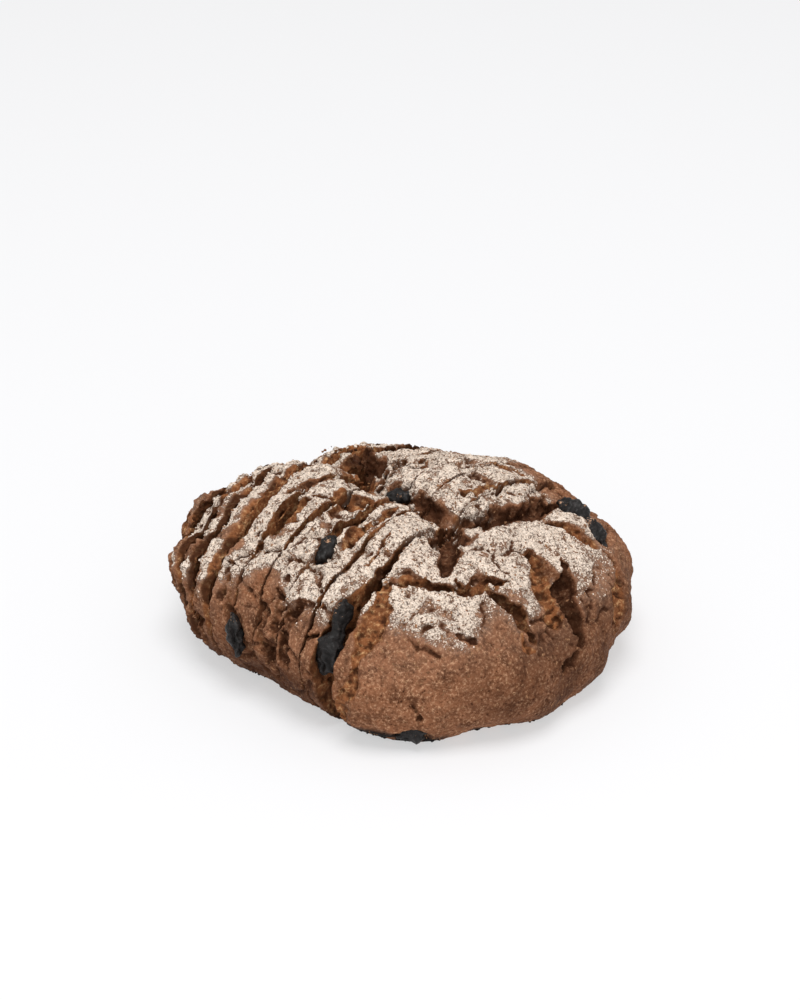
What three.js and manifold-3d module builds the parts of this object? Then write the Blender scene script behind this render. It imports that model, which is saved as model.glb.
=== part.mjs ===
// Round rye bread loaf with dried fruit baked into it. One side is cut into ten slices that lean away
// from the uncut heel like a fan. Millimetres, +Z up. X runs across the cuts, from the end slice to
// the heel, and Y runs along them.
import * as THREE from 'three';
import { mergeVertices } from 'three/addons/utils/BufferGeometryUtils.js';
import Module from 'manifold-3d';

const wasm = await Module();
wasm.setup();

// The whole loaf before it is cut. X = 0 is where it is highest.
const HEEL_END = 100;          // from there to the heel's far end
const SLICED_END = 85;         // and to the end of the first slice
const HALF_WIDTH = 100;
const LOAF_HEIGHT = 85;
const WIDEST_HEIGHT = 27;      // the loaf bulges most at this height
const UNDER_DEPTH = 36;        // how far the rounded underside would reach without its flat base
// Where the outline is fuller than even, or less full: degrees from +X towards +Y, and by what share.
const CORNERS = [
  { angle: 50, swell: 0.03 },
  { angle: -140, swell: -0.07 },
  { angle: 140, swell: -0.08 },
];
const HEEL_POWER = 2.1;        // shape of the outline at the heel: 2 is an ellipse, more is squarer
const SLICED_POWER = 3.4;      // and at the sliced end
const HEEL_DOME_POWER = 2;     // shape of the dome's profile towards the heel
const SLICED_DOME_POWER = 2.15;
const UNDER_POWER = 3;         // and of the underside's profile
const SKIN_DETAIL = 11;        // subdivisions of the icosahedron that carries the crust

// Slices, in order from the heel outwards. A slice leans away from the heel and turns on its foot;
// clearance is the room that is left to its right-hand neighbour at the nearest point, and slide is
// how far it has slipped along the cut.
const HEEL_FACE = 26;          // X of the heel's cut face
const SLICES = [
  { thickness: 14.5, lean: 0.6, turn: -1, clearance: 0.4, slide: 0 },
  { thickness: 12.5, lean: 1.2, turn: -1.4, clearance: 0.4, slide: 0 },
  { thickness: 12, lean: 3, turn: -2.6, clearance: 0.4, slide: 0 },
  { thickness: 13, lean: 4.5, turn: -2.6, clearance: 0.4, slide: 0 },
  { thickness: 11, lean: 6.5, turn: -2, clearance: 0.6, slide: 0 },
  { thickness: 11, lean: 10, turn: -0.5, clearance: 1, slide: 0 },
  { thickness: 7.5, lean: 12, turn: 0.5, clearance: 1.2, slide: 0 },
  { thickness: 7.5, lean: 14, turn: 0.5, clearance: 1.2, slide: 0 },
  { thickness: 7.5, lean: 16, turn: 1, clearance: 1.5, slide: -1 },
  { thickness: 8, lean: 18, turn: 1, clearance: 1.5, slide: -2 },
];
// A slice's half-width at three heights, as a share of the loaf's.
const SLICE_RIM = [[0.82, 0], [1, WIDEST_HEIGHT], [0.5, LOAF_HEIGHT]];

// Rounded valleys and holes between the plates of crust: plan points, half-width and depth. A depth
// below zero is a hump.
const VALLEYS = [
  { route: [[-8, -3], [16, -8], [29, -6], [37, 7], [40, 28], [41, 62]], halfWidth: 9, depth: 10 },
  { route: [[28, -8], [34, -20], [40, -32]], halfWidth: 6.5, depth: 8 },
  { route: [[40, -33], [54, -48], [76, -29]], halfWidth: 4, depth: 3.5 },
  { route: [[-30, 4], [-18, -6], [-8, -3]], halfWidth: 7, depth: 5 },
  { route: [[66, 8], [80, -6], [92, -14]], halfWidth: 6, depth: 7 },
  { route: [[50, 31], [67, 36], [80, 48]], halfWidth: 4, depth: 3 },
  { route: [[-46, 12], [-35, 20]], halfWidth: 12, depth: 16 },
  { route: [[-72, 44], [-34, 50]], halfWidth: 27, depth: 6 },
  { route: [[-78, -32], [-56, -24]], halfWidth: 22, depth: -4 },
];
const VALLEY_START = 16;       // the valleys fade in between these two heights
const VALLEY_FULL = 43;

// Hollow under the crust at the foot of the slices: centre, radius and depth.
const UNDERCUT = { at: new THREE.Vector3(-18, -92, 10), radius: 26, depth: 10 };

// Lumps all over the crust: wavelength and height of each wave, and the direction it runs in.
const LUMPS = [
  { length: 62, height: 1.6, heading: 0.4 },
  { length: 41, height: 1.1, heading: 1.7 },
  { length: 29, height: 0.8, heading: 2.8 },
];
const LUMP_CLIMB = 0.7;        // how far a wave shifts with height, so that lumps don't stand upright

// Dried fruit, blackened where the oven reached it: centre, half-sizes and rotation of each lobe.
const FRUIT = {
  fruit_front: [
    { at: [17.5, -86.5, 42], half: [7.6, 6, 12.5], turn: [-6, 10, 0] },
    { at: [18.5, -79, 57.5], half: [4.2, 6, 9.5], turn: [-24, 0, 0] },
  ],
  fruit_gap: [{ at: [-9, -57, 70.5], half: [4.5, 9, 6], turn: [30, 0, 0] }],
  fruit_top: [{ at: [-11, 2, 73], half: [10, 5, 5], turn: [0, 0, 38] }],
  fruit_side: [{ at: [-35, -91.5, 34], half: [3.6, 5, 12.5], turn: [0, -10, 0] }],
  fruit_back: [
    { at: [50, 57, 64], half: [10, 5.5, 4.5], turn: [0, 8, -12] },
    { at: [65.5, 53.5, 57.2], half: [10.5, 5.5, 4.5], turn: [0, 33, -12] },
  ],
  fruit_base: [{ at: [55, -75.4, 8], half: [9, 5, 4.6], turn: [0, 0, 25] }],
};
const FRUIT_DETAIL = 2;
const POCKET_GAP = 0.35;       // air between a fruit and the bread round it

// The slice beside the heel lost its front corner: the break runs from its right face to its crust.
const BREAK = { slice: 10, depth: 42, width: 9 };

const REACH = 300;             // larger than the loaf, for what cuts right through it

const CRUST = new THREE.MeshStandardMaterial({ color: 0x7d5b47, roughness: 0.9, metalness: 0 });
const CHARRED = new THREE.MeshStandardMaterial({ color: 0x2b2624, roughness: 0.5, metalness: 0 });

const radians = THREE.MathUtils.degToRad;

function toSolid(geometry) {
  const bare = geometry.clone();
  bare.deleteAttribute('normal');
  bare.deleteAttribute('uv');
  const merged = mergeVertices(bare, 1e-4);
  return new wasm.Manifold(new wasm.Mesh({
    numProp: 3,
    vertProperties: new Float32Array(merged.attributes.position.array),
    triVerts: new Uint32Array(merged.index.array),
  }));
}

function toGeometry(solid) {
  const mesh = solid.getMesh();
  const geometry = new THREE.BufferGeometry();
  geometry.setAttribute('position', new THREE.BufferAttribute(mesh.vertProperties, 3));
  geometry.setIndex(new THREE.BufferAttribute(mesh.triVerts, 1));
  geometry.computeVertexNormals();
  return geometry;
}

function block(from, to) {
  const size = new THREE.Vector3().subVectors(to, from);
  const middle = new THREE.Vector3().addVectors(from, to).multiplyScalar(0.5);
  return toSolid(new THREE.BoxGeometry(size.x, size.y, size.z).translate(middle.x, middle.y, middle.z));
}

// Everything between two places along X.
function slab(fromX, toX) {
  return block(new THREE.Vector3(fromX, -REACH, -REACH), new THREE.Vector3(toX, REACH, REACH));
}

function distanceToSegment(x, y, [ax, ay], [bx, by]) {
  const lengthSquared = (bx - ax) ** 2 + (by - ay) ** 2;
  const along = ((x - ax) * (bx - ax) + (y - ay) * (by - ay)) / lengthSquared;
  const share = THREE.MathUtils.clamp(along, 0, 1);
  return Math.hypot(x - ax - share * (bx - ax), y - ay - share * (by - ay));
}

function distanceToRoute(x, y, route) {
  let nearest = Infinity;
  for (let i = 1; i < route.length; i += 1) {
    nearest = Math.min(nearest, distanceToSegment(x, y, route[i - 1], route[i]));
  }
  return nearest;
}

// How far the crust stands out from (or, below zero, lies under) the smooth dome at a point.
function relief(point) {
  let height = 0;
  for (const lump of LUMPS) {
    const across = point.x * Math.cos(lump.heading) + point.y * Math.sin(lump.heading);
    height += lump.height * Math.sin((2 * Math.PI * (across + LUMP_CLIMB * point.z)) / lump.length);
  }
  const upperSide = THREE.MathUtils.smoothstep(point.z, VALLEY_START, VALLEY_FULL);
  for (const valley of VALLEYS) {
    const nearness = distanceToRoute(point.x, point.y, valley.route) / valley.halfWidth;
    height -= upperSide * valley.depth * Math.exp(-(nearness ** 2));
  }
  const fromUndercut = point.distanceTo(UNDERCUT.at) / UNDERCUT.radius;
  return height - UNDERCUT.depth * Math.exp(-(fromUndercut ** 2));
}

// Distance from the middle to the loaf's outline in the direction of an angle seen from above.
function outlineRadius(angle) {
  const cos = Math.cos(angle);
  const sin = Math.sin(angle);
  const halfLength = cos > 0 ? HEEL_END : SLICED_END;
  const power = cos > 0 ? HEEL_POWER : SLICED_POWER;
  const radius = (Math.abs(cos / halfLength) ** power + Math.abs(sin / HALF_WIDTH) ** power) ** (-1 / power);
  let share = 1;
  for (const corner of CORNERS) {
    share += corner.swell * Math.max(0, Math.cos(angle - radians(corner.angle))) ** 2;
  }
  return radius * share;
}

function skinPoint(direction) {
  const level = Math.hypot(direction.x, direction.y);
  const angle = Math.atan2(direction.y, direction.x);
  const towardsHeel = THREE.MathUtils.smoothstep(Math.cos(angle), -1, 1);
  const domePower = THREE.MathUtils.lerp(SLICED_DOME_POWER, HEEL_DOME_POWER, towardsHeel);
  const power = direction.z > 0 ? domePower : UNDER_POWER;
  const scale = (level ** power + Math.abs(direction.z) ** power) ** (-1 / power);
  const radius = outlineRadius(angle) * level * scale;
  const reach = direction.z > 0 ? LOAF_HEIGHT - WIDEST_HEIGHT : UNDER_DEPTH;
  const z = WIDEST_HEIGHT + reach * direction.z * scale;
  const smooth = new THREE.Vector3(radius * Math.cos(angle), radius * Math.sin(angle), z);
  const outward = direction.clone().multiplyScalar(relief(smooth));
  return smooth.add(outward);
}

function wholeLoaf() {
  const skin = new THREE.IcosahedronGeometry(1, SKIN_DETAIL);
  const position = skin.attributes.position;
  for (let i = 0; i < position.count; i += 1) {
    const direction = new THREE.Vector3().fromBufferAttribute(position, i).normalize();
    const point = skinPoint(direction);
    position.setXYZ(i, point.x, point.y, point.z);
  }
  const floor = block(new THREE.Vector3(-REACH, -REACH, -REACH), new THREE.Vector3(REACH, REACH, 0));
  return toSolid(skin).subtract(floor);
}

function rotationOf({ lean, turn }) {
  return new THREE.Euler(0, -radians(lean), radians(turn), 'ZYX');
}

// Foot of a slice, as X of its left bottom edge, with its right face just clear of the neighbour's
// left face.
function footBeside(neighbour, slice) {
  const facing = new THREE.Vector3(1, 0, 0).applyEuler(rotationOf(neighbour));
  let reach = -Infinity;
  for (const [share, z] of SLICE_RIM) {
    for (const side of [-1, 1]) {
      const corner = new THREE.Vector3(slice.thickness, side * share * HALF_WIDTH, z);
      corner.applyEuler(rotationOf(slice));
      corner.x -= neighbour.foot;
      reach = Math.max(reach, corner.dot(facing));
    }
  }
  return -(reach + slice.clearance) / facing.x;
}

// Height of a piece's lowest point once it is turned.
function lowestPoint(geometry, rotation) {
  const turned = geometry.clone().applyMatrix4(new THREE.Matrix4().makeRotationFromEuler(rotation));
  turned.computeBoundingBox();
  return turned.boundingBox.min.z;
}

function fruitLobe({ at, half, turn }, margin) {
  const lobe = new THREE.IcosahedronGeometry(1, FRUIT_DETAIL);
  lobe.scale(half[0] + margin, half[1] + margin, half[2] + margin);
  const place = new THREE.Matrix4().makeRotationFromEuler(new THREE.Euler(...turn.map(radians)));
  place.setPosition(...at);
  return toSolid(lobe.applyMatrix4(place));
}

function fruitSolid(lobes, margin) {
  return lobes.map((lobe) => fruitLobe(lobe, margin)).reduce((sum, lobe) => sum.add(lobe));
}

function named(name, geometry, material) {
  const mesh = new THREE.Mesh(geometry, material.clone());
  mesh.name = name;
  return mesh;
}

// Takes the fruits' pockets out of a piece of bread, in the piece's own frame.
function withPockets(solid, place) {
  const toPiece = place.clone().invert();
  let carved = solid;
  for (const lobes of Object.values(FRUIT)) {
    const pocket = toGeometry(fruitSolid(lobes, POCKET_GAP)).applyMatrix4(toPiece);
    carved = carved.subtract(toSolid(pocket));
  }
  return toGeometry(carved);
}

// Wedge that is missing from the front right corner of a slice, in the slice's own frame.
function brokenCorner(thickness) {
  const angle = Math.atan2(BREAK.width, BREAK.depth);
  const wedge = new THREE.BoxGeometry(REACH, REACH, REACH).translate(REACH / 2, -REACH / 2, 0);
  return toSolid(wedge.rotateZ(-angle).translate(thickness, BREAK.depth - HALF_WIDTH, 0));
}

const loaf = wholeLoaf();
const pieces = new THREE.Group();

const heelSolid = loaf.intersect(slab(HEEL_FACE, REACH));
pieces.add(named('heel', withPockets(heelSolid, new THREE.Matrix4()), CRUST));

let neighbour = { lean: 0, turn: 0, foot: HEEL_FACE };
let cutFace = HEEL_FACE;
SLICES.forEach((slice, index) => {
  const number = SLICES.length - index;
  const leftFace = cutFace - slice.thickness;
  const cut = toGeometry(loaf.intersect(slab(leftFace, cutFace))).translate(-leftFace, 0, 0);
  const rotation = rotationOf(slice);
  slice.foot = footBeside(neighbour, slice);
  const place = new THREE.Matrix4().makeRotationFromEuler(rotation);
  place.setPosition(slice.foot, slice.slide, -lowestPoint(cut, rotation));
  const whole = toSolid(cut);
  const shape = number === BREAK.slice ? whole.subtract(brokenCorner(slice.thickness)) : whole;
  const mesh = named(`slice_${String(number).padStart(2, '0')}`, withPockets(shape, place), CRUST);
  mesh.applyMatrix4(place);
  pieces.add(mesh);
  neighbour = slice;
  cutFace = leftFace;
});

for (const [name, lobes] of Object.entries(FRUIT)) {
  pieces.add(named(name, toGeometry(fruitSolid(lobes, 0)), CHARRED));
}

// The origin is under the middle of the whole, at the height of the table.
const bounds = new THREE.Box3().setFromObject(pieces, true);
const middle = bounds.getCenter(new THREE.Vector3());
pieces.position.set(-middle.x, -middle.y, -bounds.min.z);

const part = new THREE.Group();
part.add(pieces);

export default part;
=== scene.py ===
# Round rye bread loaf: a floured, cracked heel and ten slices that still stand together, with dried
# plums baked into the crust. Every baked piece is a fine mesh worked from its plain solid.
from collections import namedtuple
from math import cos, radians, sin

import bmesh
import bpy
import numpy as np
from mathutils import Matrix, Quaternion, Vector


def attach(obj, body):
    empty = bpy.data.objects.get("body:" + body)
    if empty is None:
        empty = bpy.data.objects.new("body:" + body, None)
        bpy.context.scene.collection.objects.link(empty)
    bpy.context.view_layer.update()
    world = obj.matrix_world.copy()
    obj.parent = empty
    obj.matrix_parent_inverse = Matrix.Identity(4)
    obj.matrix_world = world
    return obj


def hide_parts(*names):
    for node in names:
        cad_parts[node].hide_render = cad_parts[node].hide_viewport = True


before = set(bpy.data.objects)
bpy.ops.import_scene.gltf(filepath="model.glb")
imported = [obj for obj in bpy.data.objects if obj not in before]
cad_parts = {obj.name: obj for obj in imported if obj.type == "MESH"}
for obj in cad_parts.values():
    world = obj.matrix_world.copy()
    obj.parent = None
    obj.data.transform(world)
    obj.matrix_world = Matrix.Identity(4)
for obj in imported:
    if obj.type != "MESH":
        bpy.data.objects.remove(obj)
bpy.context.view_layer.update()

MM = 0.001
HEEL = "heel"
SLICES = [f"slice_{number:02d}" for number in range(1, 11)]
LOOSE_SLICES = SLICES[:5]      # these lean outwards and stand apart
FRUIT = ["fruit_front", "fruit_gap", "fruit_top", "fruit_side", "fruit_back", "fruit_base"]

# Share of the flour that stays on the outermost slices.
LESS_FLOUR = {"slice_01": 0.0, "slice_02": 0.4}
# Where the cuts between the inner slices stay open: the two pieces, the middle along Y and half the
# length, in millimetres.
GAPING = [
    (("slice_08", "slice_09"), -36, 22),
    (("slice_10", "heel"), -78, 34),
    (("slice_06", "slice_07"), -50, 16),
]

# Lengths in millimetres.
LOAF_MIDDLE = np.array([0, 0, 24.0])     # the crust bulges out of this point
LOAF_HALF = np.array([104, 101, 62.0])   # half the loaf's length, width and height about it
CHARRED_FOOT = (42, -84)       # where the foot of the crust is burnt the most
CHARRED_WIDTH = 24             # and how far that spreads
BREAD_VOXEL = 0.85             # mesh spacing
PLUM_VOXEL = 0.6
CUT_GUARD = 3.5                # this near a cut face, smoothing moves points along it only
WIDEST_GAP = 8.5               # gaps wider than this are left open
CRACK_REACH = 12               # how far under its route a crack still counts

LEAST_CUT_AREA = 1500          # square millimetres; a smaller flat face is a facet of the crust
NEARLY_HALF = 0.49             # of a gap, how far each of its sides comes in where it is shut
LIP_HEIGHT = 0.12              # the raised lip of a crack, as a share of its depth

# Rounds of smoothing.
FACET_ROUNDS = 80              # takes the facets out of the crust
BLEND_ROUNDS = 8               # carries that move on to the edges of the cut faces
CALM_ROUNDS = 12               # for the way the crust faces without its small bumps
PIT_ROUNDS = 14                # what still lies lower than this is in a pit
PLUM_ROUNDS = 30

BRAN_COUNT = 5200
FLOUR_LUMP_COUNT = 8000
BURNT_CRUMB_COUNT = 500

LENS = 85                      # millimetres, for a frame of 36
FRAME_WIDTH = 36
CAMERA_AZIMUTH = radians(38)   # from the front towards the heel
CAMERA_ELEVATION = radians(32)
CAMERA_DISTANCE = 1.157        # metres
LOOK_UP = radians(3.22)        # off the foot of the loaf's middle
LOOK_LEFT = radians(0.22)
SKY_STRENGTH = 0.58
FLOOR_HALF = 4                 # metres
FLOOR_GREY = (0.42, 0.42, 0.43, 1)
FLOOR_GLOW = 0.505
WHITE = (1, 1, 1, 1)


# ---------------------------------------------------------------- noise, in millimetres
# Each noise has a seed of its own, so that a change to one leaves the others alone.

def smoothstep(low, high, value):
    """0 at `low` and 1 at `high`, with a soft way between; `low` may be the greater."""
    share = np.clip((value - low) / (high - low), 0, 1)
    return share * share * (3 - 2 * share)


def dots(first, second):
    """Dot product of each pair of rows."""
    return np.einsum("ij,ij->i", first, second)


def hashed(cells, seed):
    """One number from 0 to 255 for each whole-numbered cell."""
    table = np.random.default_rng(seed).permutation(256)
    first = table[cells[:, 0] & 255]
    second = table[(first + cells[:, 1]) & 255]
    return table[(second + cells[:, 2]) & 255]


def soft_noise(points, size, seed):
    """Smooth bumps of about -1 to 1 that are about `size` across."""
    directions = np.random.default_rng(seed + 1000).normal(size=(256, 3))
    directions /= np.linalg.norm(directions, axis=1)[:, None]
    scaled = points / size + 57.3
    cells = np.floor(scaled).astype(np.int64)
    inside = scaled - cells
    ease = inside ** 3 * (inside * (inside * 6 - 15) + 10)
    total = np.zeros(len(points))
    for corner in np.ndindex(2, 2, 2):
        step = np.array(corner)
        weight = np.prod(np.where(step == 1, ease, 1 - ease), axis=1)
        slope = directions[hashed(cells + step, seed)]
        total += weight * np.einsum("ij,ij->i", slope, inside - step)
    return 1.6 * total


def layered_noise(points, size, seed, layers=3):
    """Soft noise with ever smaller and weaker noise on top."""
    total = np.zeros(len(points))
    for layer in range(layers):
        total += 0.5 ** layer * soft_noise(points, size / 2 ** layer, seed + 7 * layer)
    return total


def warped(points, size, reach, seed):
    """The points pushed about by noise, which makes straight things ragged."""
    push = [soft_noise(points, size, seed + 31 * axis) for axis in range(3)]
    return points + reach * np.stack(push, axis=1)


def cell_edges(points, size, seed):
    """Distance from the walls between irregular cells that are about `size` across."""
    jitter = np.random.default_rng(seed + 2000).uniform(0.1, 0.9, size=(256, 3))
    scaled = points / size + 31.7
    cells = np.floor(scaled).astype(np.int64)
    nearest = np.full(len(points), 9.0)
    second = np.full(len(points), 9.0)
    for offset in np.ndindex(3, 3, 3):
        cell = cells + np.array(offset) - 1
        centre = cell + jitter[hashed(cell, seed)]
        distance = np.linalg.norm(scaled - centre, axis=1)
        second = np.minimum(second, np.maximum(nearest, distance))
        nearest = np.minimum(nearest, distance)
    return size * (second - nearest)


def along_route(points, outward, route):
    """Distance of each point beside a route, how far along it lies, and the route's length.

    Points straight under the route, down to the floor of a crack, count as on it."""
    nearest = np.full(len(points), np.inf)
    passed = np.zeros(len(points))
    length = 0.0
    for start, end in zip(np.array(route[:-1], float), np.array(route[1:], float)):
        run = end - start
        span = np.linalg.norm(run)
        share = np.clip((points - start) @ run / span ** 2, 0, 1)
        offset = points - start - share[:, None] * run
        above = np.clip(dots(offset, outward), -CRACK_REACH, CRACK_REACH)
        distance = np.linalg.norm(offset - above[:, None] * outward, axis=1)
        closer = distance < nearest
        nearest[closer] = distance[closer]
        passed[closer] = length + share[closer] * span
        length += span
    return nearest, passed, length


# ---------------------------------------------------------------- cracks and tears in the crust

# A crack follows a route over the crust, in millimetres. torn says how much pale crumb it lays
# open, and only names the pieces that it is in, where it isn't in all of them.
Crack = namedtuple("Crack", "route half_width depth torn only", defaults=(0.2, None))

CRACKS = [
    # between the rear plate of crust and the heel's plate
    Crack([(-2, -4, 80), (12, -7, 78), (24, -9, 76), (34, -7, 74)], 6.5, 6.0, 0.25),
    Crack([(33, -8, 75), (41, 4, 74), (45, 26, 71), (46, 46, 67), (46, 64, 60)], 8.0, 7.0, 0.1),
    # the heart-shaped hole, and the cracks that run out of it
    Crack([(33, -6, 75), (37, -15, 75), (41, -23, 75), (46, -31, 75), (52, -39, 72)],
          8.0, 9.0, 0.1),
    Crack([(38, -26, 76), (44, -30, 75), (51, -35, 73)], 4.5, 6.0, 0.1),
    Crack([(63, -41, 68), (56, -48, 69), (48, -52, 72), (39, -58, 71), (35, -62, 70)],
          2.6, 5.0, 0.35),
    Crack([(58, -39, 70), (64, -41, 68), (68, -34, 70), (75, -22, 68)], 3.6, 5.0, 0.6),
    Crack([(69, -34, 68), (76, -31, 62), (83, -27, 58), (89, -30, 53), (94, -27, 47)],
          3.2, 4.2, 0.4),
    Crack([(89, -33, 51), (92, -34, 46), (96, -29, 42)], 3.0, 1.2, 0.8),
    # down the heel's far end: a torn slope on one side, a deep groove along the other
    Crack([(70, 3, 68), (76, 0, 64), (81, -3, 60), (87, -7, 55), (94, -12, 47)], 9.0, 5.0, 1.0),
    Crack([(80, 12, 66), (87, 5, 59), (93, -1, 53), (98, -4, 47), (103, -5, 38)], 4.2, 10.0, 0.0),
    Crack([(104, -5, 37), (104, -10, 32), (103, -20, 26)], 2.6, 4.5, 0.1),
    Crack([(97, 29, 49), (102, 27, 44), (103, 24, 38), (103, 21, 32)], 1.4, 3.0, 0.1),
    Crack([(60, 31, 69), (69, 34, 65), (77, 39, 60), (84, 45, 53)], 4.6, 4.5, 1.0),
    Crack([(85, 47, 51), (93, 42, 46), (100, 34, 43), (103, 29, 36), (103, 25, 27)], 9.0, 3.0, 1.0),
    # the lump behind the rear plate, and the long tears of that plate
    Crack([(34, 62, 64), (39, 57, 64), (48, 45, 67), (53, 38, 70)], 2.6, 5.0, 0.1),
    Crack([(-16, 14, 80), (-10, 22, 82), (-4, 30, 82), (6, 40, 81), (20, 50, 77), (28, 58, 73)],
          3.0, 4.2, 0.7),
    Crack([(20, 2, 82), (25, 8, 82), (28, 20, 81), (32, 32, 78)], 1.8, 3.2, 0.5),
    # round the plum in the top, and the hollow to its left
    Crack([(-16, -8, 81), (-8, -5, 79), (4, 0, 80), (14, -2, 80)], 3.0, 5.0, 0.2),
    Crack([(-42, 20, 72), (-31, 2, 77), (-24, -8, 79), (-14, -11, 80)], 9.0, 4.5, 0.9),
    Crack([(-46, 22, 70), (-33, 6, 76), (-24, -4, 79)], 5.0, 9.0, 0.2),
    Crack([(-62, 34, 66), (-50, 27, 68), (-40, 22, 72), (-30, 14, 77)], 15.0, 5.0, 0.0),
    Crack([(-60, 40, 64), (-48, 28, 68), (-36, 20, 74)], 9.0, 11.0, 0.0),
    Crack([(-50, 28, 66), (-40, 22, 70)], 4.5, 16.0, 0.0),
    Crack([(-58, 34, 66), (-52, 50, 64), (-50, 66, 60)], 10.0, 6.0, 0.0),
    Crack([(-24, 4, 80), (-22, 16, 80), (-26, 32, 78)], 5.0, 6.5, 0.3),
    # torn crust beside the cuts
    Crack([(7, -16, 82), (6, -30, 81), (5, -44, 80), (4, -54, 77)], 3.6, 4.2, 0.9, ("slice_09",)),
    Crack([(31, -42, 76), (30, -50, 74), (29, -60, 69), (28, -67, 62)],
          2.8, 6.0, 0.1, (HEEL, "slice_10")),
    Crack([(47, -50, 73), (39, -56, 71), (34, -62, 69)], 6.0, 2.6, 1.0, (HEEL,)),
    Crack([(36, -62, 68), (40, -72, 63), (41, -79, 55), (41, -84, 49), (41, -90, 41)],
          7.0, 2.8, 1.0, (HEEL,)),
    Crack([(41, -89, 42), (40, -94, 33), (37, -96, 21), (35, -92, 8)], 5.5, 2.6, 1.0, (HEEL,)),
    Crack([(-33, -62, 74), (-31, -50, 79), (-31, -40, 81)], 8.0, 5.5, 1.0, ("slice_07",)),
    Crack([(-30, -35, 82), (-20, -29, 83), (-11, -24, 83), (-2, -20, 83)], 6.5, 2.8, 1.0),
    Crack([(-44, -40, 82), (-37, -26, 81), (-32, -16, 81)], 2.4, 3.4, 0.3),
    Crack([(19, -58, 72), (20, -48, 76), (21, -40, 79)], 1.8, 3.0, 0.4),
    Crack([(14, -91, 48), (18, -91, 50)], 3.4, 7.0, 0.0),
    Crack([(-20, -84, 54), (-14, -89, 48), (-13, -93, 38), (-6, -93, 28)], 2.6, 5.0, 0.1),
    Crack([(2, -80, 62), (3, -88, 52), (1, -93, 40), (5, -95, 28)], 1.6, 4.0, 0.1),
    Crack([(-12, -78, 60), (-8, -86, 50), (-7, -92, 36), (-10, -92, 24)], 1.5, 4.5, 0.2),
    Crack([(-36, -86, 50), (-33, -91, 40), (-26, -93, 28)], 1.9, 4.0, 0.3),
    Crack([(-44, -70, 60), (-40, -80, 50), (-38, -86, 40)], 1.9, 4.0, 0.4),
    # low on the heel
    Crack([(66, -81, 29), (68, -81, 22), (67, -80, 14)], 1.6, 2.8, 0.3),
    Crack([(75, -57, 57), (80, -58, 54), (83, -57, 51)], 1.6, 3.0, 0.1),
]


def crack_fields(points, node):
    """How deep each point lies in the cracks, how far inside one, and how much crumb shows."""
    ragged = warped(points, 14, 3.0, 3)
    ragged = warped(ragged, 5, 2.0, 4)
    ragged = warped(ragged, 2.4, 0.6, 6)
    uneven = 1 + 0.5 * soft_noise(points, 8, 5)
    outward = dome_normals(points)
    depth = np.zeros(len(points))
    inside = np.zeros(len(points))
    torn = np.zeros(len(points))
    for crack in CRACKS:
        if crack.only and node not in crack.only:
            continue
        distance, passed, length = along_route(ragged, outward, crack.route)
        from_end = np.minimum(passed, length - passed) / (3.0 * crack.half_width)
        taper = 0.35 + 0.65 * smoothstep(0, 1, from_end)
        reach = distance / (crack.half_width * taper * uneven)
        here = 1 - smoothstep(0.55, 1.05, reach)
        lip = LIP_HEIGHT * crack.depth * np.exp(-((reach - 1.3) / 0.3) ** 2)
        raised = depth - lip * (depth <= 0)
        depth = np.where(here > 0.02, np.maximum(depth, crack.depth * here), raised)
        inside = np.maximum(inside, here)
        torn = np.maximum(torn, here * crack.torn)
    return depth, inside, torn


# ---------------------------------------------------------------- mesh helpers

def points_of(mesh):
    flat = np.empty(3 * len(mesh.vertices), np.float32)
    mesh.vertices.foreach_get("co", flat)
    return flat.reshape(-1, 3).astype(float) / MM


def move_points(mesh, points):
    mesh.vertices.foreach_set("co", (points * MM).astype(np.float32).ravel())
    mesh.update()


def normals_of(mesh):
    flat = np.empty(3 * len(mesh.vertices), np.float32)
    mesh.vertex_normals.foreach_get("vector", flat)
    return flat.reshape(-1, 3).astype(float)


def edges_of(mesh):
    flat = np.empty(2 * len(mesh.edges), np.int32)
    mesh.edges.foreach_get("vertices", flat)
    return flat.reshape(-1, 2)


def neighbour_mean(values, edges):
    """Mean of each point's neighbours; a point without any keeps its own value."""
    first, second = edges.T
    count = len(values)
    ties = np.bincount(first, minlength=count) + np.bincount(second, minlength=count)
    mean = np.array(values, float)
    for axis in range(values.shape[1]):
        total = np.bincount(first, values[second, axis], count)
        total = total + np.bincount(second, values[first, axis], count)
        mean[:, axis] = np.where(ties > 0, total / np.maximum(ties, 1), values[:, axis])
    return mean


def linked(name, mesh):
    piece = bpy.data.objects.new(name, mesh)
    bpy.context.collection.objects.link(piece)
    return piece


def working_copy(node, name):
    """A new object with the solid's mesh, its loose triangles joined up."""
    shape = bmesh.new()
    shape.from_mesh(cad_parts[node].data)
    bmesh.ops.remove_doubles(shape, verts=shape.verts, dist=0.001 * MM)
    mesh = bpy.data.meshes.new(name)
    shape.to_mesh(mesh)
    shape.free()
    return linked(name, mesh)


def even_mesh(piece, spacing):
    """Replaces the piece's mesh by one of small, even faces."""
    remesh = piece.modifiers.new("even", "REMESH")
    remesh.mode = "VOXEL"
    remesh.voxel_size = spacing * MM
    remesh.use_smooth_shade = True
    shown = piece.evaluated_get(bpy.context.evaluated_depsgraph_get())
    fine = bpy.data.meshes.new_from_object(shown)
    piece.modifiers.clear()
    piece.data = fine


def set_mask(mesh, name, values):
    layer = mesh.attributes.get(name) or mesh.attributes.new(name, "FLOAT", "POINT")
    layer.data.foreach_set("value", np.clip(values, 0, 1).astype(np.float32))


def finish_piece(piece, slot, material, *nodes):
    """Gives the piece its material, hangs it under the root body and hides the solids that it
    stands for.
    """
    piece.data.materials.clear()
    piece.data.materials.append(material)
    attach(piece, "root")
    if nodes:
        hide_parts(*nodes)


# ---------------------------------------------------------------- bread

Plane = namedtuple("Plane", "normal offset")


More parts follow.
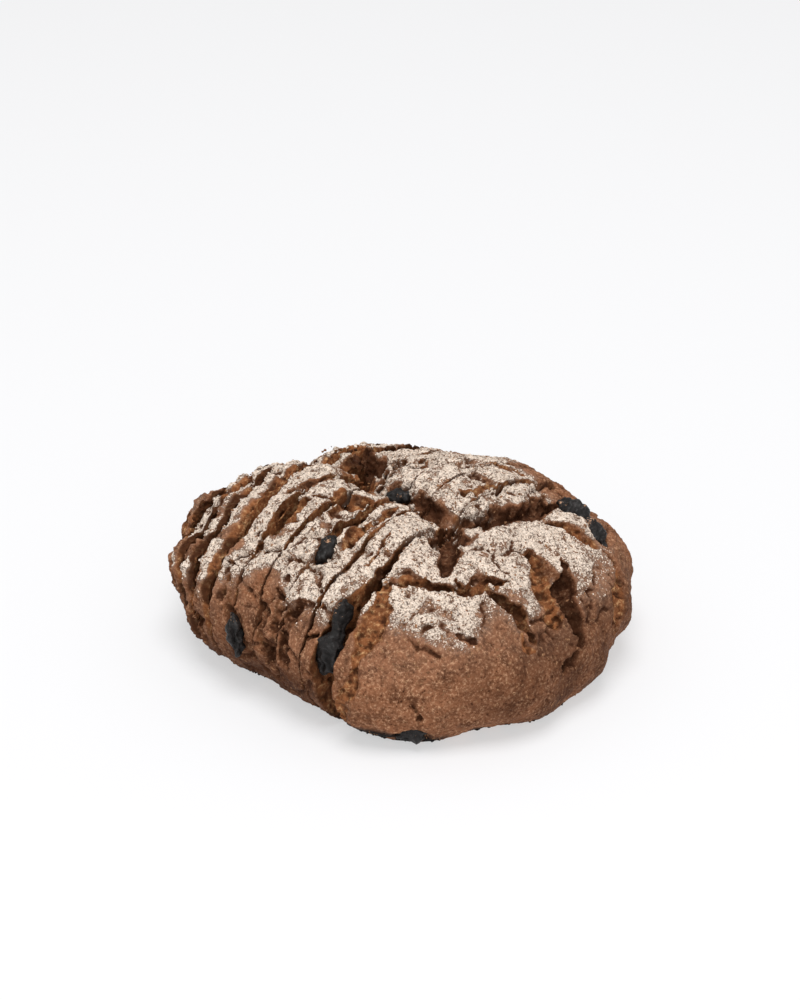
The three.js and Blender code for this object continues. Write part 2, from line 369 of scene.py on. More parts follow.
def cut_planes(mesh):
    """The flat cut faces of a piece, without its base."""
    planes = []
    normals = np.array([face.normal for face in mesh.polygons])
    centres = np.array([face.center for face in mesh.polygons]) / MM
    areas = np.array([face.area for face in mesh.polygons]) / MM ** 2
    free = normals[:, 2] > -0.95
    while free.any():
        seed = np.flatnonzero(free)[np.argmax(areas[free])]
        offset = centres[seed] @ normals[seed]
        same = np.abs(centres @ normals[seed] - offset) < 0.05
        same &= normals @ normals[seed] > 0.9995
        if areas[same & free].sum() > LEAST_CUT_AREA:
            planes.append(Plane(normals[seed], offset))
        free &= ~same
        if areas[free].sum() < LEAST_CUT_AREA:
            break
    return planes


def cut_share(points, planes, reach):
    """1 on a cut face, fading to 0 at `reach` behind it."""
    share = np.zeros(len(points))
    for plane in planes:
        behind = plane.offset - points @ plane.normal
        share = np.maximum(share, 1 - smoothstep(0.25 * reach, reach, behind))
    return share


def shut_share(points, node):
    """How nearly shut the cuts beside each point stand, from 0 to 1."""
    if node in LOOSE_SLICES:
        return np.clip(0.3 + 0.6 * layered_noise(points, 20, 62, 2), 0, 0.8)
    gaping = np.zeros(len(points))
    for (one, other), middle, half_length in GAPING:
        if node in (one, other):
            gaping = np.maximum(gaping, np.exp(-(((points[:, 1] - middle) / half_length) ** 4)))
    return np.clip(0.97 + 0.1 * soft_noise(points, 17, 61) - 1.2 * gaping, 0, 1)


def close_cuts(points, planes, facing_planes, node):
    """Brings facing cut faces nearly up to each other where they stand shut."""
    shut = NEARLY_HALF * shut_share(points, node)
    for plane in planes:
        behind = plane.offset - points @ plane.normal
        for other in facing_planes:
            facing = plane.normal @ other.normal
            if facing > -0.98:
                continue
            gap = (other.offset - points @ other.normal) / facing
            gap = np.where(gap < WIDEST_GAP, gap, 0).clip(0, None)
            near = 1 - smoothstep(0, 7, np.abs(behind))
            points = points + (shut * gap * near)[:, None] * plane.normal
    return points


def facing_of(normals, planes):
    """How squarely each normal faces out of a cut face, from 0 to 1."""
    return np.max([normals @ plane.normal for plane in planes], axis=0).clip(0, 1)


def keep_beside_cuts(move, points, planes, reach):
    """Takes from a move what would carry a point near a cut face through that face."""
    for plane in planes:
        behind = plane.offset - points @ plane.normal
        near = 1 - smoothstep(0.5 * reach, reach, behind)
        move = move - (near * (move @ plane.normal))[:, None] * plane.normal
    return move


def dome_normals(points):
    """Directions straight out of the loaf, for moves that must not follow small bumps."""
    outward = (points - LOAF_MIDDLE) / LOAF_HALF ** 2
    return outward / np.linalg.norm(outward, axis=1)[:, None]


def round_facets(points, planes, edges):
    """Smooths the crust and leaves cut faces, their edges and the base as they are."""
    behind = np.min([plane.offset - points @ plane.normal for plane in planes], axis=0)
    free = (behind > 1.6) & (points[:, 2] > 0.6)
    inner = edges[free[edges].all(axis=1)]
    smooth = points
    for _ in range(FACET_ROUNDS):
        move = 0.5 * (neighbour_mean(smooth, inner) - smooth)
        move = keep_beside_cuts(move, smooth, planes, CUT_GUARD)
        move[:, 2] *= smoothstep(0, 3, smooth[:, 2])
        smooth = smooth + move * free[:, None]
    move = smooth - points
    for _ in range(BLEND_ROUNDS):
        move = np.where(free[:, None], move, neighbour_mean(move, edges))
    return points + keep_beside_cuts(move, points, planes, CUT_GUARD)


def torn_rim(points, node, planes):
    """1 along the rim of a loose slice where the crust tore off, on the side towards the heel."""
    if node not in LOOSE_SLICES:
        return np.zeros(len(points))
    towards_heel = max(planes, key=lambda plane: plane.normal[0])
    behind = towards_heel.offset - points @ towards_heel.normal
    width = 3.6 + 3.2 * layered_noise(points, 16, 51, 3)
    return 1 - smoothstep(0.55, 1.15, behind / np.maximum(width, 0.6))


def shape_bread(piece, node, planes, facing_planes):
    """Rounds the facets away, then lays in the lumps and the cracks."""
    even_mesh(piece, BREAD_VOXEL)
    mesh = piece.data
    edges = edges_of(mesh)
    points = round_facets(points_of(mesh), planes, edges)
    on_cut = cut_share(points, planes, 0.5) > 0.5
    crust = ~on_cut & (points[:, 2] > 0.4)

    outward = dome_normals(points)
    lumps = 1.5 * soft_noise(points, 34, 11) + 1.1 * layered_noise(points, 14, 12, 2)
    if node in SLICES:
        slip = 2.2 if node in LOOSE_SLICES else 1.0
        lumps += slip * layered_noise(points, 26, 100 + SLICES.index(node), 2)
    depth, _, _ = crack_fields(points, node)
    low, high = (6, 16) if node in SLICES else (30, 50)
    upper = smoothstep(low, high, points[:, 2])
    cells = cell_edges(warped(points, 12, 4.5, 14), 24, 15)
    gate = smoothstep(-0.4, 0.2, soft_noise(points, 34, 16))
    fissure = 3.6 if node in SLICES else 2.6
    crackle = fissure * gate * upper * (1 - smoothstep(0.3, 3.0, cells))
    move = (lumps - depth - crackle)[:, None] * outward
    move *= (crust * smoothstep(1, 9, points[:, 2]))[:, None]
    move = keep_beside_cuts(move, points, planes, 2.5)

    behind = np.min([plane.offset - points @ plane.normal for plane in planes], axis=0)
    rim = crust * np.exp(-(behind / 2.6) ** 2) * smoothstep(4, 12, points[:, 2])
    bite = 4.6 if node in LOOSE_SLICES else 0.6
    bitten = bite * rim * smoothstep(0.0, 0.7, layered_noise(points, 6.5, 17, 3))
    bitten += 2.6 * torn_rim(points, node, planes) * crust * smoothstep(4, 12, points[:, 2])
    points = points + move - bitten[:, None] * outward
    move_points(mesh, close_cuts(points, planes, facing_planes, node))
    even_mesh(piece, BREAD_VOXEL)


def fine_relief(points, node, cut, from_cut, inside):
    """How far the roughness of crust and crumb stands out, in millimetres."""
    # crust: knobbly on top, finer below, coarser in the cracks
    upper = smoothstep(30, 56, points[:, 2])
    knobs = (0.4 + 0.35 * upper) * layered_noise(points, 4.4, 21)
    knobs = knobs + 0.3 * soft_noise(points, 1.9, 22)
    coarse = 1.1 * layered_noise(points, 5.0, 23) * inside
    # crumb: small holes and a ragged grain
    holes = 0.9 * smoothstep(0.25, 0.7, layered_noise(points, 4.2, 24, 2))
    grain = 0.2 * (1 + soft_noise(points, 1.8, 25))
    sway = 0.8 * soft_noise(points, 24, 26) if node in LOOSE_SLICES else 0
    # the crust is frayed where it meets a cut
    frayed = np.exp(-((from_cut / 3.2) ** 2)) * layered_noise(points, 4.0, 27, 3)
    frayed *= (1.5 if node in LOOSE_SLICES else 0.5) * (1 - cut)
    return (1 - cut) * (knobs + coarse) + cut * (sway - holes - grain) + frayed


# What is known of each point of a piece once its relief is in. `upward` is the upward part of
# its normal, `depth` is how deep it lies in a crack, in millimetres, and `patches` is a broad
# noise that the masks share. The others go from 0 to 1: how steep the crust is, how far down a
# small pit, how much it is cut face, a shut cut, a torn rim or inside a crack, how much crumb that
# crack lays open, and how far to the left the point is.
Lie = namedtuple("Lie", "upward steep pit cut shut rim inside depth torn left patches")


def crumb_mask(lie):
    """Crumb shows on cut faces, where the crust tore, and along the rims of the loose slices."""
    torn_open = smoothstep(0.15, 0.5, lie.torn + 0.2 * lie.patches * (lie.torn > 0.05))
    return np.maximum(np.maximum(lie.cut * (1 - 0.8 * lie.shut), torn_open), lie.rim)


def flour_mask(points, node, lie, crumb):
    """Flour lies on top and reaches lower on the left; cracks, pits and steep crust shed it."""
    reach = points[:, 2] + 6 * lie.patches + 18 * lie.left
    flour = smoothstep(46, 66, reach) * (0.5 + 0.5 * smoothstep(-0.1, 0.4, lie.upward))
    flour *= 1 - 0.45 * smoothstep(0.0, 0.8, layered_noise(points, 10, 34, 3))
    flour = np.maximum(flour, 0.2 * smoothstep(22, 50, reach))
    flour *= 1 - 0.97 * smoothstep(0.1, 0.5, lie.inside)
    flour *= 1 - (1 - 0.75 * lie.shut) * smoothstep(0.12, 0.42, lie.steep)
    flour *= 1 - 0.9 * smoothstep(0.25, 0.8, lie.pit)
    flour *= LESS_FLOUR.get(node, 1)
    rear = smoothstep(56, 68, points[:, 1] + 4 * lie.patches) * smoothstep(0, 14, points[:, 0])
    flour *= 1 - 0.8 * rear
    if node in SLICES:
        front = smoothstep(-26, -60, points[:, 1]) * smoothstep(76, 64, points[:, 2])
        front *= 0.35 + 0.65 * smoothstep(2, -18, points[:, 0])
        flour *= 1 - 0.7 * front * smoothstep(0.0, 0.45, layered_noise(points, 17, 35, 3))
    return flour * (1 - crumb)


def char_mask(points, lie):
    """The foot of the crust is charred in patches, and most of all at the front."""
    away = np.linalg.norm(points[:, :2] - CHARRED_FOOT, axis=1)
    near = np.exp(-((away / CHARRED_WIDTH) ** 2))
    foot = smoothstep(8, 2, points[:, 2] + 3 * lie.patches - 4 * near)
    return foot * smoothstep(0.1, 0.5, layered_noise(points, 9, 33, 2) + near) * (1 - 0.7 * lie.cut)


def painted_shade_and_dark_crust_mask(points, lie, crumb):
    """Painted shade in cracks and pits, on steep crust and in the gaps between slices; low on the
    crust darker-baked crust with painted shade; darker crust in random patches.
    """
    height = points[:, 2]
    whole = 1 - lie.torn
    # painted shade deep in cracks, in small pits and on steep crust, where less light reaches
    shade = 0.8 * lie.inside * smoothstep(0.8, 3.5, lie.depth) * whole
    shade = shade + smoothstep(0.15, 0.8, lie.pit)
    shade = shade + 0.6 * smoothstep(0.2, 0.6, lie.steep) * (1 - crumb)
    # painted shade on the cut faces and torn rims down in the gaps between slices, in patches and
    # heavier on the left
    gap_shade = np.maximum(lie.rim, lie.cut) * smoothstep(-0.3, 0.3, layered_noise(points, 18, 52, 3))
    shade = shade + 1.2 * (lie.left + 0.55) * gap_shade
    # low on the slices and low at the heel's far end: darker-baked crust together with painted
    # shade
    low_left = smoothstep(46, 10, height) * smoothstep(34, 22, points[:, 0])
    low_right = 0.65 * smoothstep(76, 98, points[:, 0]) * smoothstep(60, 38, height)
    shade = shade + np.maximum(low_left, low_right) * (0.8 + 0.4 * lie.patches) * whole
    # darker crust in random broad patches
    return shade + 0.18 * smoothstep(0.0, 0.8, layered_noise(points, 26, 36, 3)) * whole


def roughen_bread(piece, node, planes):
    """Fine relief of crust and crumb, and the masks that colour them."""
    mesh = piece.data
    points = points_of(mesh)
    normals = normals_of(mesh)
    edges = edges_of(mesh)
    calm = normals
    for _ in range(CALM_ROUNDS):
        calm = neighbour_mean(calm, edges)
    calm /= np.linalg.norm(calm, axis=1)[:, None]

    facing = smoothstep(0.6, 0.9, facing_of(normals, planes))
    from_crust = 1 - smoothstep(0.75, 0.95, dots(calm, dome_normals(points)))
    from_cut = np.min([np.abs(plane.offset - points @ plane.normal) for plane in planes], axis=0)
    near_cut = 1 - smoothstep(3, 4, from_cut)
    beside_cut = 1 - smoothstep(3, 5.5, from_cut)
    cut = near_cut * facing * from_crust
    above_base = smoothstep(0.3, 2.5, points[:, 2])
    depth, inside, torn = crack_fields(points, node)

    relief = fine_relief(points, node, cut, from_cut, inside)
    points = points + relief[:, None] * normals * above_base[:, None]
    move_points(mesh, points)

    smooth = points
    for _ in range(PIT_ROUNDS):
        smooth = neighbour_mean(smooth, edges)
    shut = np.zeros(len(points)) if node in LOOSE_SLICES else shut_share(points, node)
    shut *= smoothstep(-0.5, 0.1, layered_noise(points, 12, 63, 2)) * beside_cut
    lie = Lie(
        upward=calm[:, 2],
        steep=1 - dots(calm, dome_normals(points)),
        pit=dots(smooth - points, calm),
        cut=cut,
        shut=shut,
        rim=torn_rim(points, node, planes),
        inside=inside,
        depth=depth,
        torn=torn,
        left=smoothstep(-35, -62, points[:, 0]),
        patches=layered_noise(points, 22, 31, 2),
    )
    crumb = crumb_mask(lie)
    set_mask(mesh, "flour", flour_mask(points, node, lie, crumb))
    set_mask(mesh, "crumb", crumb)
    set_mask(mesh, "char", char_mask(points, lie))
    # painted shade, with darker-baked crust low down and random darker patches
    set_mask(mesh, "shade", painted_shade_and_dark_crust_mask(points, lie, crumb))


def bake_bread(pieces, material):
    """Works the heel and the slices up from their solids."""
    planes = {node: cut_planes(piece.data) for node, piece in pieces.items()}
    for node, piece in pieces.items():
        facing_planes = [plane for other in pieces if other != node for plane in planes[other]]
        shape_bread(piece, node, planes[node], facing_planes)
        roughen_bread(piece, node, planes[node])
        finish_piece(piece, "crust", material, node)


# ---------------------------------------------------------------- dried plums

def wrinkle_plum(node, material):
    """A plum with folded skin, lightly dusted."""
    piece = working_copy(node, f"{node}_dried")
    even_mesh(piece, PLUM_VOXEL)
    mesh = piece.data
    points = points_of(mesh)
    edges = edges_of(mesh)
    for _ in range(PLUM_ROUNDS):
        points = points + 0.5 * (neighbour_mean(points, edges) - points)
    move_points(mesh, points)
    normals = normals_of(mesh)
    folds = 1 - np.abs(layered_noise(warped(points, 7, 2.5, 41), 6.5, 42, 2))
    bulge = 2.0 * soft_noise(points, 9, 45) + 1.4 * soft_noise(points, 4.2, 46)
    relief = bulge + 2.2 * (folds - 0.85) + 0.5 * layered_noise(points, 2.4, 43, 2)
    low = smoothstep(0.2, 2.0, points[:, 2])
    points = points + (relief * low)[:, None] * normals
    points[:, 2] = np.maximum(points[:, 2], 0.05)
    move_points(mesh, points)
    dusty = smoothstep(0.1, 0.7, layered_noise(points, 7, 44, 2))
    dusty *= smoothstep(0.0, 0.6, normals[:, 2])
    set_mask(mesh, "flour", 0.2 + 0.4 * dusty)
    set_mask(mesh, "folds", folds)
    finish_piece(piece, "dried_fruit", material, node)


# ---------------------------------------------------------------- loose flour, bran and crumbs

def grain_shape(stretch):
    """Points and faces of one small grain."""
    shape = bmesh.new()
    bmesh.ops.create_icosphere(shape, subdivisions=1, radius=1)
    bmesh.ops.scale(shape, verts=shape.verts, vec=stretch)
    shape.verts.ensure_lookup_table()
    points = np.array([vert.co for vert in shape.verts])
    faces = np.array([[vert.index for vert in face.verts] for face in shape.faces])
    shape.free()
    return points, faces


def scatter(name, stretch, places, normals, sizes, seed, material):
    """Grains laid flat on the surface, all in one mesh."""
    points, faces = grain_shape(stretch)
    rng = np.random.default_rng(seed)
    count = len(places)
    heading = rng.normal(size=(count, 3))
    side = np.cross(normals, heading)
    side /= np.linalg.norm(side, axis=1)[:, None]
    lean = normals + 0.25 * rng.normal(size=(count, 3))
    lean -= dots(lean, side)[:, None] * side
    lean /= np.linalg.norm(lean, axis=1)[:, None]
    turns = np.stack([side, np.cross(lean, side), lean], axis=2)
    knocks = 1 + 0.22 * rng.normal(size=(count, len(points), 1))
    body = knocks * points[None] * sizes[:, None, None]
    body = np.einsum("nij,nkj->nki", turns, body) + places[:, None]
    body[:, :, 2] = np.maximum(body[:, :, 2], 0.05)
    joined = faces[None] + len(points) * np.arange(count)[:, None, None]
    mesh = bpy.data.meshes.new(name)
    mesh.from_pydata((body.reshape(-1, 3) * MM).tolist(), [], joined.reshape(-1, 3).tolist())
    mesh.update()
    finish_piece(linked(name, mesh), "bran", material)


def surface_of(pieces):
    """Points, normals and masks of all the baked pieces together."""
    points = np.concatenate([points_of(piece.data) for piece in pieces])
    normals = np.concatenate([normals_of(piece.data) for piece in pieces])
    masks = {}
    for name in ("flour", "crumb", "char", "shade"):
        values = []
        for piece in pieces:
            column = np.empty(len(piece.data.vertices), np.float32)
            piece.data.attributes[name].data.foreach_get("value", column)
            values.append(column)
        masks[name] = np.concatenate(values)
    return points, normals, masks


def pick(weights, count, seed):
    """Different points drawn by chance, the heavier ones more often."""
    rng = np.random.default_rng(seed)
    return rng.choice(len(weights), size=count, replace=False, p=weights / weights.sum())


def scatter_all(pieces, bran, lumps, burnt):
    """Bran flakes over the crust, lumps where flour lies, and burnt crumbs round the foot."""
    points, normals, masks = surface_of(pieces)
    rng = np.random.default_rng(77)
    crust = (1 - masks["crumb"]) * (points[:, 2] > 3)

    weights = crust * (0.6 + 0.4 * masks["flour"]) * (1 - 0.8 * masks["shade"])
    chosen = pick(weights, BRAN_COUNT, 71)
    sizes = rng.uniform(0.25, 0.6, len(chosen)) + 0.5 * rng.random(len(chosen)) ** 6
    scatter("bran_flakes", (1.3, 0.65, 0.22), points[chosen], normals[chosen], sizes, 72, bran)

    chosen = pick(crust * smoothstep(0.25, 0.8, masks["flour"]), FLOUR_LUMP_COUNT, 73)
    sizes = rng.uniform(0.2, 0.46, len(chosen))
    scatter("flour_lumps", (1.1, 0.8, 0.45), points[chosen], normals[chosen], sizes, 74, lumps)

    low = smoothstep(9, 3, points[:, 2]) * (points[:, 2] > 0.8)
    chosen = pick(low * (0.1 + masks["char"]), BURNT_CRUMB_COUNT, 75)
    sizes = rng.uniform(0.4, 1.0, len(chosen))
    scatter("burnt_crumbs", (1.0, 0.8, 0.7), points[chosen], normals[chosen], sizes, 76, burnt)


# ---------------------------------------------------------------- finishes

def shade_of(red, green, blue):
    """Linear colour of a shade that is given in 0 to 255 as a screen shows it."""
    levels = np.array([red, green, blue]) / 255
    linear = np.where(levels <= 0.04045, levels / 12.92, ((levels + 0.055) / 1.055) ** 2.4)
    return (*linear.tolist(), 1.0)


FLOUR_PALE = shade_of(252, 236, 220)
FLOUR_DULL = shade_of(204, 182, 163)
CRUST_TAN = shade_of(200, 154, 120)
CRUST_BROWN = shade_of(143, 95, 67)
# the darkest crust, also the colour of the painted shade
DARK_CRUST_AND_SHADE = shade_of(50, 24, 11)
CRUMB_PALE = shade_of(212, 166, 118)
CRUMB_ORANGE = shade_of(150, 95, 59)
CRUMB_DARK = shade_of(76, 44, 28)
CHAR_BLACK = shade_of(24, 21, 20)
CHAR_GREY = shade_of(50, 43, 42)
BRAN_BROWN = shade_of(150, 108, 78)
BRAN_TAN = shade_of(198, 158, 122)


def add(tree, kind, **settings):
    """A new node in a material or a group."""
    node = tree.nodes.new(kind)
    for name, value in settings.items():
        setattr(node, name, value)
    return node


def feed(tree, socket, source):
    """Links a socket to another node's output, or sets it to a plain value."""
    if hasattr(source, "is_linked"):
        tree.links.new(source, socket)
    else:
        socket.default_value = source


def math_node(tree, operation, first, second):
    node = add(tree, "ShaderNodeMath", operation=operation)
    feed(tree, node.inputs[0], first)
    feed(tree, node.inputs[1], second)
    return node.outputs[0]


def blend_colours(tree, share, low, high):
    node = add(tree, "ShaderNodeMix", data_type="RGBA")
    feed(tree, node.inputs[0], share)
    feed(tree, node.inputs[6], low)
    feed(tree, node.inputs[7], high)
    return node.outputs[2]


def spread(tree, value, low, high, to_low=0.0, to_high=1.0):
    """Maps low..high onto to_low..to_high, softly and without going past them."""
    node = add(tree, "ShaderNodeMapRange", interpolation_type="SMOOTHSTEP")
    feed(tree, node.inputs["Value"], value)
    feed(tree, node.inputs["From Min"], low)
    feed(tree, node.inputs["From Max"], high)
    feed(tree, node.inputs["To Min"], to_low)
    feed(tree, node.inputs["To Max"], to_high)
    return node.outputs[0]


def grain_noise(tree, per_metre, detail=2.0):
    """Noise around 0.5, with `per_metre` of its bumps to a metre."""
    node = add(tree, "ShaderNodeTexNoise")
    coordinates = add(tree, "ShaderNodeTexCoord").outputs["Object"]
    tree.links.new(coordinates, node.inputs["Vector"])
    feed(tree, node.inputs["Scale"], per_metre)
    feed(tree, node.inputs["Detail"], detail)
    feed(tree, node.inputs["Roughness"], 0.7)
    return node.outputs[0]


def crazing(tree, per_metre):
    """0 in fine, broken fissures between small plates, 1 elsewhere."""
    coordinates = add(tree, "ShaderNodeTexCoord").outputs["Object"]
    push = add(tree, "ShaderNodeTexNoise")
    tree.links.new(coordinates, push.inputs["Vector"])
    feed(tree, push.inputs["Scale"], 500.0)
    moved = add(tree, "ShaderNodeVectorMath", operation="MULTIPLY_ADD")
    tree.links.new(push.outputs["Color"], moved.inputs[0])
    moved.inputs[1].default_value = (0.003, 0.003, 0.003)   # metres of push
    tree.links.new(coordinates, moved.inputs[2])
    plates = add(tree, "ShaderNodeTexVoronoi", feature="DISTANCE_TO_EDGE")
    tree.links.new(moved.outputs[0], plates.inputs["Vector"])
    feed(tree, plates.inputs["Scale"], per_metre)
    broken = spread(tree, grain_noise(tree, 160.0), 0.52, 0.62, to_high=0.10)
    inner = math_node(tree, "MULTIPLY", broken, 0.5)
    outer = math_node(tree, "ADD", broken, 0.01)
    return spread(tree, plates.outputs[0], inner, outer)


def mask(tree, name):
    """A value from 0 to 1 that the mesh carries for each of its points."""
    return add(tree, "ShaderNodeAttribute", attribute_name=name).outputs["Fac"]


def new_group(name, inputs, outputs):
    """An empty group, what goes into it and what comes out."""
    group = bpy.data.node_groups.new(name, "ShaderNodeTree")
    for label, kind, value in inputs:
        socket = group.interface.new_socket(label, in_out="INPUT", socket_type=kind)
        socket.default_value = value
    for label, kind in outputs:
        group.interface.new_socket(label, in_out="OUTPUT", socket_type=kind)
    return group, add(group, "NodeGroupInput").outputs, add(group, "NodeGroupOutput").inputs


def make_mottle():
    """Two shades that drift into each other in patches, with fine pale flecks and dark pits."""
    group, given, result = new_group(
        "mottle",
        [
            ("Dark", "NodeSocketColor", DARK_CRUST_AND_SHADE),
            ("Middle", "NodeSocketColor", CRUST_BROWN),
            ("Pale", "NodeSocketColor", CRUST_TAN),
            ("Patch", "NodeSocketFloat", 120.0),
            ("Fleck", "NodeSocketFloat", 700.0),
        ],
        [("Color", "NodeSocketColor")],
    )
    patches = grain_noise(group, given["Patch"], detail=4.0)
    flecks = grain_noise(group, given["Fleck"], detail=6.0)
    darker = spread(group, patches, 0.62, 0.32, to_high=0.6)
    base = blend_colours(group, darker, given["Middle"], given["Dark"])
    paler = spread(group, flecks, 0.50, 0.68, to_high=0.9)
    speckled = blend_colours(group, paler, base, given["Pale"])
    pits = spread(group, flecks, 0.46, 0.33, to_high=0.85)
    pitted = blend_colours(group, pits, speckled, given["Dark"])
    group.links.new(pitted, result["Color"])
    return group


def make_dusting():
    """Where flour lies, for a coverage from 0 to 1: loose grains at first, then a broken sheet."""
    group, given, result = new_group(
        "dusting",
        [
            ("Coverage", "NodeSocketFloat", 0.5),
            ("Grain", "NodeSocketFloat", 1250.0),
        ],
        [("Mask", "NodeSocketFloat")],
    )
    grains = math_node(group, "MULTIPLY", grain_noise(group, given["Grain"], detail=4.0), 0.6)
    clumps = math_node(group, "MULTIPLY", grain_noise(group, 380.0, detail=6.0), 0.4)
    level = math_node(group, "ADD", grains, clumps)
    limit = spread(group, given["Coverage"], 0.0, 1.0, to_low=0.68, to_high=0.435)
    over = math_node(group, "SUBTRACT", level, limit)
    lying = spread(group, over, -0.04, 0.06)
    fissures = crazing(group, 300.0)
    group.links.new(math_node(group, "MULTIPLY", lying, fissures), result["Mask"])
    return group


def make_grit():
    """Height of fine grit, for a bump."""
    group, given, result = new_group(
        "grit",
        [("Fine", "NodeSocketFloat", 900.0), ("Coarse", "NodeSocketFloat", 300.0)],
        [("Height", "NodeSocketFloat")],
    )
    fine = grain_noise(group, given["Fine"], detail=3.0)
    coarse = grain_noise(group, given["Coarse"], detail=2.0)
    group.links.new(math_node(group, "ADD", fine, coarse), result["Height"])
    return group


def place_group(tree, group, **values):
    """The group's result for the values given, and for its own where none is given."""
    node = add(tree, "ShaderNodeGroup", node_tree=group)
    for label, value in values.items():
        feed(tree, node.inputs[label], value)
    return node.outputs[0]


def new_material(name, roughness, sheen=0.06):
    material = bpy.data.materials.new(name)
    material.use_nodes = True
    tree = material.node_tree
    shader = tree.nodes["Principled BSDF"]
    shader.inputs["Roughness"].default_value = roughness
    shader.inputs["Specular IOR Level"].default_value = sheen
    return material, tree, shader


def add_bump(tree, shader, height, distance, strength):
    """Makes the surface look uneven by about `distance` millimetres."""
    bump = add(tree, "ShaderNodeBump")
    bump.inputs["Strength"].default_value = strength
    bump.inputs["Distance"].default_value = distance * MM
    tree.links.new(height, bump.inputs["Height"])
    tree.links.new(bump.outputs["Normal"], shader.inputs["Normal"])


def bread_material(mottle, dusting, grit):
    material, tree, shader = new_material("rye_bread", roughness=0.85)
    crust = place_group(tree, mottle)
    crumb = place_group(
        tree, mottle, Dark=CRUMB_DARK, Middle=CRUMB_ORANGE, Pale=CRUMB_PALE, Patch=95.0, Fleck=420.0
    )
    colour = blend_colours(tree, mask(tree, "crumb"), crust, crumb)
    # painted shade: where the shade mask is high the colour goes towards the dark crust colour
    shade = mask(tree, "shade")
    colour = blend_colours(tree, math_node(tree, "MULTIPLY", shade, 0.85), colour, DARK_CRUST_AND_SHADE)
    coverage = mask(tree, "flour")
    # dark crust shows between heaps of flour, and a thin film dulls the crust around them
    under = spread(tree, coverage, 0.3, 0.9, to_high=0.7)
    colour = blend_colours(tree, under, colour, DARK_CRUST_AND_SHADE)
    film = spread(tree, coverage, 0.05, 0.5, to_high=0.12)
    colour = blend_colours(tree, film, colour, FLOUR_DULL)
    thick = spread(tree, grain_noise(tree, 1100.0, detail=3.0), 0.35, 0.62)
    flour = blend_colours(tree, thick, FLOUR_DULL, FLOUR_PALE)
    dusted = place_group(tree, dusting, Coverage=coverage)
    colour = blend_colours(tree, math_node(tree, "MULTIPLY", dusted, 0.95), colour, flour)
    colour = blend_colours(tree, mask(tree, "char"), colour, CHAR_BLACK)
    tree.links.new(colour, shader.inputs["Base Color"])
    matt = spread(tree, dusted, 0.0, 1.0, to_low=0.72, to_high=0.95)
    feed(tree, shader.inputs["Roughness"], matt)
    height = math_node(tree, "ADD", place_group(tree, grit), dusted)
    add_bump(tree, shader, height, distance=0.35, strength=0.8)
    return material


def plum_material(mottle, dusting, grit):
    material, tree, shader = new_material("dried_plum", roughness=0.5, sheen=0.3)
    skin = place_group(
        tree, mottle, Dark=CHAR_BLACK, Middle=CHAR_BLACK, Pale=CHAR_GREY, Patch=200.0, Fleck=600.0
    )
    dusted = place_group(tree, dusting, Coverage=mask(tree, "flour"))
    colour = blend_colours(tree, dusted, skin, CRUST_TAN)
    tree.links.new(colour, shader.inputs["Base Color"])
    shine = spread(tree, mask(tree, "folds"), 0.5, 1.0, to_low=0.75, to_high=0.35)
    feed(tree, shader.inputs["Roughness"], shine)
    add_bump(tree, shader, place_group(tree, grit), distance=0.4, strength=0.8)
    return material


def grain_material(name, dark, middle, pale, mottle, grit):
    material, tree, shader = new_material(name, roughness=0.85)
    colour = place_group(
        tree, mottle, Dark=dark, Middle=middle, Pale=pale, Patch=500.0, Fleck=1500.0
    )
    tree.links.new(colour, shader.inputs["Base Color"])
    add_bump(tree, shader, place_group(tree, grit), distance=0.1, strength=0.5)
    return material


def floor_material():
    material, _, shader = new_material("pale_floor", roughness=0.9, sheen=0.0)
    shader.inputs["Base Color"].default_value = FLOOR_GREY
    shader.inputs["Emission Color"].default_value = WHITE
    shader.inputs["Emission Strength"].default_value = FLOOR_GLOW
    return material


# ---------------------------------------------------------------- camera, light and floor

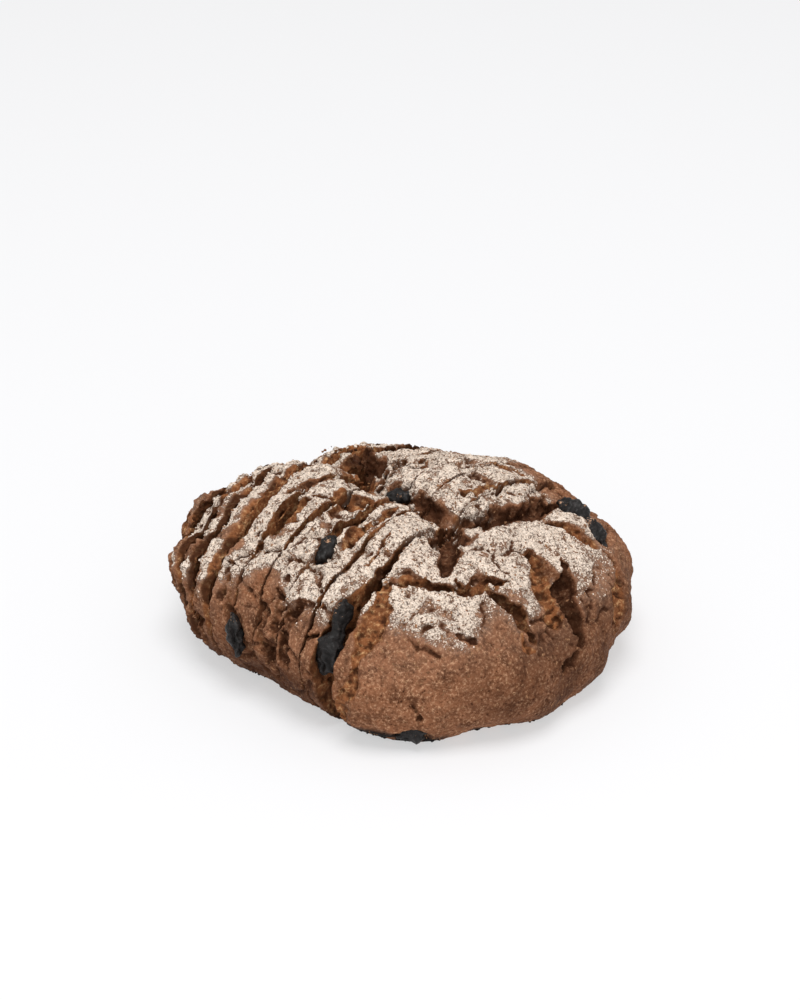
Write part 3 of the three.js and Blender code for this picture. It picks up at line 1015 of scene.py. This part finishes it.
def make_camera():
    camera = bpy.data.objects.new("camera", bpy.data.cameras.new("camera"))
    bpy.context.collection.objects.link(camera)
    camera.data.lens = LENS
    camera.data.sensor_width = FRAME_WIDTH
    level = cos(CAMERA_ELEVATION)
    back = Vector(
        (sin(CAMERA_AZIMUTH) * level, -cos(CAMERA_AZIMUTH) * level, sin(CAMERA_ELEVATION))
    )
    camera.location = CAMERA_DISTANCE * back
    camera.rotation_mode = "QUATERNION"
    raised = Quaternion((1, 0, 0), LOOK_UP)
    turned = Quaternion((0, 1, 0), LOOK_LEFT)
    camera.rotation_quaternion = (-back).to_track_quat("-Z", "Y") @ raised @ turned
    bpy.context.scene.camera = camera


def make_lamp(name, place, size, power):
    """A round lamp that shines at the foot of the loaf's middle."""
    light = bpy.data.lights.new(name, "AREA")
    light.shape = "DISK"
    light.size = size
    light.energy = power
    lamp = bpy.data.objects.new(name, light)
    lamp.location = place
    lamp.rotation_mode = "QUATERNION"
    lamp.rotation_quaternion = (-Vector(place)).to_track_quat("-Z", "Y")
    bpy.context.collection.objects.link(lamp)


def make_studio():
    world = bpy.data.worlds.new("studio")
    bpy.context.scene.world = world
    world.use_nodes = True
    sky = world.node_tree.nodes["Background"]
    sky.inputs["Color"].default_value = WHITE
    sky.inputs["Strength"].default_value = SKY_STRENGTH
    make_lamp("key", (0.3, -0.35, 2.4), size=1.4, power=35)
    make_lamp("fill", (0.9, -0.9, 0.7), size=1.0, power=3)
    bpy.context.scene.view_settings.view_transform = "Standard"

    floor = bmesh.new()
    bmesh.ops.create_grid(floor, x_segments=1, y_segments=1, size=FLOOR_HALF)
    mesh = bpy.data.meshes.new("floor")
    floor.to_mesh(mesh)
    floor.free()
    mesh.materials.append(floor_material())
    linked("floor", mesh)


# ---------------------------------------------------------------- the loaf

make_camera()
make_studio()

mottle = make_mottle()
dusting = make_dusting()
grit = make_grit()
bread = bread_material(mottle, dusting, grit)
plum = plum_material(mottle, dusting, grit)
bran = grain_material("bran", DARK_CRUST_AND_SHADE, BRAN_BROWN, BRAN_TAN, mottle, grit)
lumps = grain_material("flour_lump", FLOUR_DULL, FLOUR_PALE, FLOUR_PALE, mottle, grit)
burnt = grain_material("burnt_crumb", CHAR_BLACK, CHAR_BLACK, CHAR_GREY, mottle, grit)

baked = {node: working_copy(node, f"{node}_baked") for node in [HEEL, *SLICES]}
bake_bread(baked, bread)
for node in FRUIT:
    wrinkle_plum(node, plum)
scatter_all(list(baked.values()), bran, lumps, burnt)
